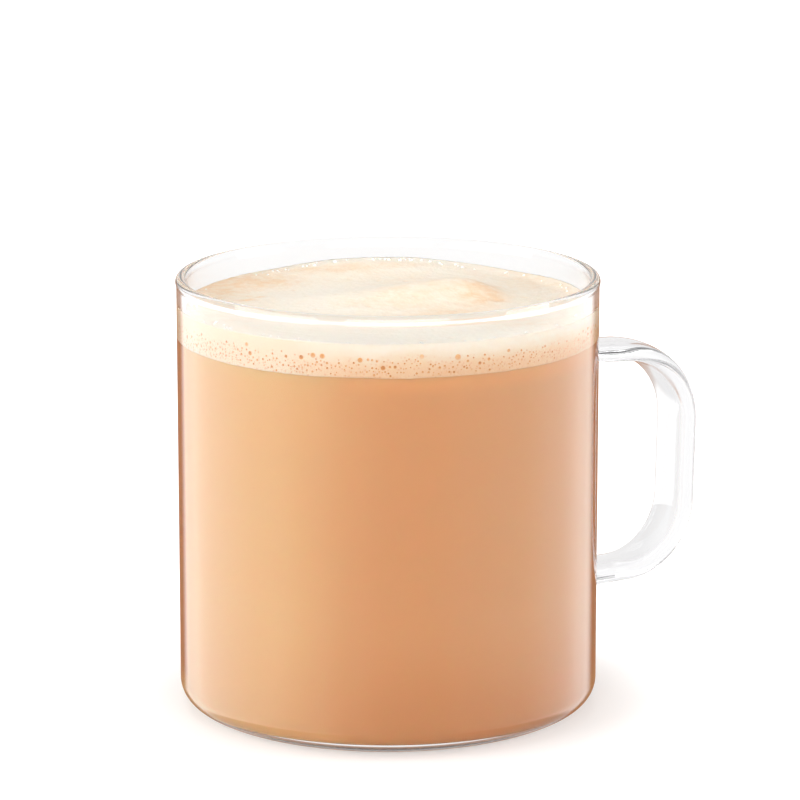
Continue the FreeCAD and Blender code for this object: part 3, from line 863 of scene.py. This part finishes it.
# white froth beads on top along the border, sizes in mm
beadSettings = {
    "others": 60, "radius": (0.16, 0.3), "inset": (0.5, 3.0), "lift": 0.2, "cuts": 2,
    "color": (0.95, 0.92, 0.87, 1), "scatter": 0.4, "scatterReach": (0.5, 0.5, 0.5),
    # the row along the far border: bearing, radius, distance in from the glass
    "far": [
        (-142.8, 0.28, 1.2), (-147.0, 0.26, 1.7), (-152.8, 0.3, 2.0), (-154.1, 0.28, 2.2),
        (-156.4, 0.44, 2.6), (-163.4, 0.42, 2.2), (-167.4, 0.26, 1.4), (-175.5, 0.34, 2.4),
        (-177.6, 0.28, 2.2), (-179.1, 0.34, 2.2), (179.7, 0.4, 2.8), (176.1, 0.46, 3.2),
        (172.8, 0.26, 3.2), (169.5, 0.28, 2.0), (166.7, 0.36, 2.4), (163.4, 0.3, 2.6), (162.4, 0.28, 3.4),
        (158.7, 0.3, 2.0), (157.4, 0.26, 2.6), (155.4, 0.42, 3.4)],
}


def makeBeads():
    size = beadSettings
    spots = list(size["far"])
    for _ in range(size["others"]):
        spots.append((rng.uniform(-180, 180), rng.uniform(*size["radius"]), rng.uniform(*size["inset"])))
    skin = skinOf(foam.data)
    work = bmesh.new()
    for bearing, radius, inset in spots:
        level = bearingWay(bearing) * (boreRadius - inset * mm)
        hit = skin.ray_cast(level + Vector((0, 0, foamHigh[2] + 10 * mm)), Vector((0, 0, -1)))
        ball = bmesh.ops.create_icosphere(work, subdivisions=size["cuts"], radius=radius * mm)
        lift = Vector((0, 0, radius * size["lift"] * mm))
        bmesh.ops.translate(work, verts=ball["verts"], vec=hit[0] + lift)
    mesh = bpy.data.meshes.new("frothBeads")
    work.to_mesh(mesh)
    work.free()
    return newPiece("frothBeads", mesh)


def makeBeadMaterial():
    look = beadSettings
    material, tree, output = newMaterial("frothBeadLook")
    addShader(tree, output, Base_Color=look["color"], Roughness=0.25, Subsurface_Weight=look["scatter"],
              Subsurface_Radius=look["scatterReach"], Subsurface_Scale=mm)
    return material


beads = makeBeads()
beads.data.materials.append(makeBeadMaterial())
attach(beads, "root")
print("beads done", len(beads.data.polygons))

# stage: pale floor, white surround and four softboxes
brownCard = (0.5, 0.27, 0.16)
stageSettings = {
    "floor": 6.0, "floorColor": (0.6, 0.6, 0.6, 1), "white": (1, 1, 1, 1),
    # the floor's own glow to the camera, from the mug outwards: lower near the mug as painted shade, with a
    # warm tint there as painted bounce light
    "glow": (0.47, 0.98), "glowReach": (42 * mm, 78 * mm), "nearBounceTint": (1, 0.965, 0.935, 1),
    # how bright floor and surround look through glass, and after several mirrorings inside it
    "throughGlow": 1.0, "guidedGlow": 1.25, "worldLight": 0.34,
    # what the glass mirrors by bearing from the camera, left negative; the far side is a brown card
    "mirror": [
        (-180, brownCard), (-158, brownCard), (-144, 2.1), (-128, 3.1), (-98, 3.2), (-68, 2.8), (-43, 2.1),
        (-21, 1.5), (0, 1.2), (23, 1.2), (46, 1.5), (71, 1.8), (102, 2.4), (127, 2.7), (139, 2.3),
        (156, brownCard), (180, brownCard)],
    # softboxes aim at one height: right, away, up, width, height in metres, then watts
    "aimUp": 0.05,
    "softboxes": {
        "keySoftbox": (-0.75, -0.35, 0.34, 0.85, 0.66, 6.6),
        "frontSoftbox": (0.1, -1.1, 0.36, 1.2, 0.6, 9.3),
        "fillSoftbox": (0.7, -0.1, 0.25, 0.4, 0.4, 2.3),
        "topSoftbox": (-0.15, 0.05, 0.9, 0.6, 0.6, 1.75)},
}


def glassRays(tree):
    # rays that reach the studio through glass with no matt surface on the way; of these,
    # some are mirrored once on the way and some are guided along inside the glass
    path = addNode(tree, "ShaderNodeLightPath").outputs
    clear = mathNode(tree, "MULTIPLY", path["Is Transmission Ray"],
                     mathNode(tree, "LESS_THAN", path["Diffuse Depth"], 0.5))
    bounced = mathNode(tree, "MULTIPLY", clear, mathNode(tree, "GREATER_THAN", path["Glossy Depth"], 0.5))
    guided = mathNode(tree, "MULTIPLY", clear, mathNode(tree, "GREATER_THAN", path["Glossy Depth"], 1.5))
    return path, {"clear": clear, "once": mathNode(tree, "SUBTRACT", bounced, guided), "guided": guided}


def mixShaders(tree, share, first, second):
    node = addNode(tree, "ShaderNodeMixShader", None, Fac=share)
    tree.links.new(first.outputs[0], node.inputs[1])
    tree.links.new(second.outputs[0], node.inputs[2])
    return node


def makeFloorMaterial():
    look = stageSettings
    material, tree, output = newMaterial("paleFloorLook")
    path, rays = glassRays(tree)
    reach = vectorNode(tree, "LENGTH", addNode(tree, "ShaderNodeTexCoord").outputs["Object"])
    blend = rangeNode(tree, reach, *look["glowReach"])
    # painted bounce light: warmer near the mug; painted shade: less glow there
    paintedBounce = mixColor(tree, blend, look["nearBounceTint"], look["white"])
    direct = mathNode(tree, "MULTIPLY", path["Is Camera Ray"], spanNode(tree, blend, *look["glow"]))
    both = addNode(tree, "ShaderNodeAddShader")
    matt = addNode(tree, "ShaderNodeBsdfDiffuse", None, Color=look["floorColor"])
    tree.links.new(matt.outputs[0], both.inputs[0])
    glow = addNode(tree, "ShaderNodeEmission", None, Color=paintedBounce, Strength=direct)
    tree.links.new(glow.outputs[0], both.inputs[1])
    # seen through glass the floor is one even white, and it lets mirrored rays by
    glowing = spanNode(tree, rays["guided"], look["throughGlow"], look["guidedGlow"])
    even = addNode(tree, "ShaderNodeEmission", None, Color=look["white"], Strength=glowing)
    hole = addNode(tree, "ShaderNodeBsdfTransparent")
    surface = mixShaders(tree, rays["once"], mixShaders(tree, rays["clear"], both, even), hole)
    tree.links.new(surface.outputs[0], output.inputs["Surface"])
    return material


def makeFloor():
    half = stageSettings["floor"] / 2
    corners = [(-half, -half, 0), (half, -half, 0), (half, half, 0), (-half, half, 0)]
    floor = newMesh("paleFloor", corners, [(0, 1, 2, 3)], smooth=False)
    floor.data.materials.append(makeFloorMaterial())
    floor.visible_glossy = False


def makeWorld():
    # plain white where seen, softer for lighting, uneven only in reflections
    look = stageSettings
    world = bpy.data.worlds.new("studio")
    bpy.context.scene.world = world
    world.use_nodes = True
    tree = world.node_tree
    tree.nodes.clear()
    output = tree.nodes.new("ShaderNodeOutputWorld")
    way = addNode(tree, "ShaderNodeTexCoord").outputs["Generated"]
    bearing = mathNode(tree, "ARCTAN2", vectorNode(tree, "DOT_PRODUCT", way, rightWay),
                       vectorNode(tree, "DOT_PRODUCT", way, -awayWay))
    bearing = mathNode(tree, "ADD", mathNode(tree, "MULTIPLY", bearing, 0.5 / math.pi), 0.5)
    # a ramp stops at one, so the ring is held as shares of its brightest level
    stops = [(turn, level if isinstance(level, tuple) else (level,) * 3) for turn, level in look["mirror"]]
    top = max(max(color) for _, color in stops)
    stops = [((turn + 180) / 360, [value / top for value in color]) for turn, color in stops]
    mirrored = vectorNode(tree, "MULTIPLY", rampNode(tree, bearing, stops), (top, top, top))
    # the uneven ring sits low; higher and steeper rays see plain white
    up = addNode(tree, "ShaderNodeSeparateXYZ", None, Vector=way).outputs[2]
    ring = rampNode(tree, mathNode(tree, "ADD", up, 1.0), [
        (0.42, (0, 0, 0)), (0.52, (1, 1, 1)), (0.98, (1, 1, 1)), (1.0, (0, 0, 0))])
    mirrored = mixColor(tree, ring, look["white"], mirrored)
    path, rays = glassRays(tree)
    glossy = mathNode(tree, "SUBTRACT", path["Is Glossy Ray"], path["Is Transmission Ray"], clamp=True)
    seen = mathNode(tree, "ADD", path["Is Camera Ray"], path["Is Transmission Ray"], clamp=True)
    plain = mathNode(tree, "ADD", spanNode(tree, seen, look["worldLight"], 1.0),
                     mathNode(tree, "MULTIPLY", rays["guided"], look["guidedGlow"] - 1))
    # rays mirrored once and then seen through glass take the ring's colour, no brighter than white
    dimmed = vectorNode(tree, "MINIMUM", mirrored, (1, 1, 1))
    color = mixColor(tree, glossy, look["white"], mirrored)
    color = mixColor(tree, rays["once"], color, dimmed)
    strength = mathNode(tree, "MAXIMUM", plain, glossy)
    back = addNode(tree, "ShaderNodeBackground", None, Color=color, Strength=strength)
    tree.links.new(back.outputs[0], output.inputs["Surface"])


def aimObject(aimed, position, target):
    aimed.location = position
    aimed.rotation_euler = (target - position).to_track_quat("-Z", "Y").to_euler()


def softbox(name, position, width, height, power):
    light = bpy.data.lights.new(name, "AREA")
    light.shape = "RECTANGLE"
    light.size, light.size_y = width, height
    light.energy = power
    # the lamp lights through glass, but isn't seen in it
    light.use_nodes = True
    tree = light.node_tree
    shown = mathNode(tree, "SUBTRACT", 1.0, glassRays(tree)[1]["clear"])
    tree.links.new(shown, tree.nodes["Emission"].inputs["Strength"])
    lamp = addObject(name, light)
    aimObject(lamp, position, place(0, 0, stageSettings["aimUp"]))
    lamp.visible_camera = False
    lamp.visible_glossy = False


makeFloor()
makeWorld()
for name, (right, away, up, width, height, power) in stageSettings["softboxes"].items():
    softbox(name, place(right, away, up), width, height, power)
print("stage done", len(stageSettings["softboxes"]), "softboxes")

# camera: looks down a little, aimed just above and right of the point it circles
cameraSettings = {"distance": 900.5 * mm, "elevation": 13.96, "targetUp": 46.1 * mm, "aimRight": 2.524 * mm,
                  "aimUp": 18.637 * mm, "lens": 192.645, "sensor": 36.0}


def makeCamera():
    size = cameraSettings
    level, rise = math.cos(radians(size["elevation"])), math.sin(radians(size["elevation"]))
    target = place(0, 0, size["targetUp"])
    eye = target + place(0, -size["distance"] * level, size["distance"] * rise)
    upWay = place(0, rise, level)
    aim = target + rightWay * size["aimRight"] + upWay * size["aimUp"]
    data = bpy.data.cameras.new("mainCamera")
    data.sensor_width = size["sensor"]
    data.lens = size["lens"]
    camera = addObject("mainCamera", data)
    aimObject(camera, eye, aim)
    bpy.context.scene.camera = camera


makeCamera()
bpy.context.scene.view_settings.view_transform = "Standard"
print("camera done")
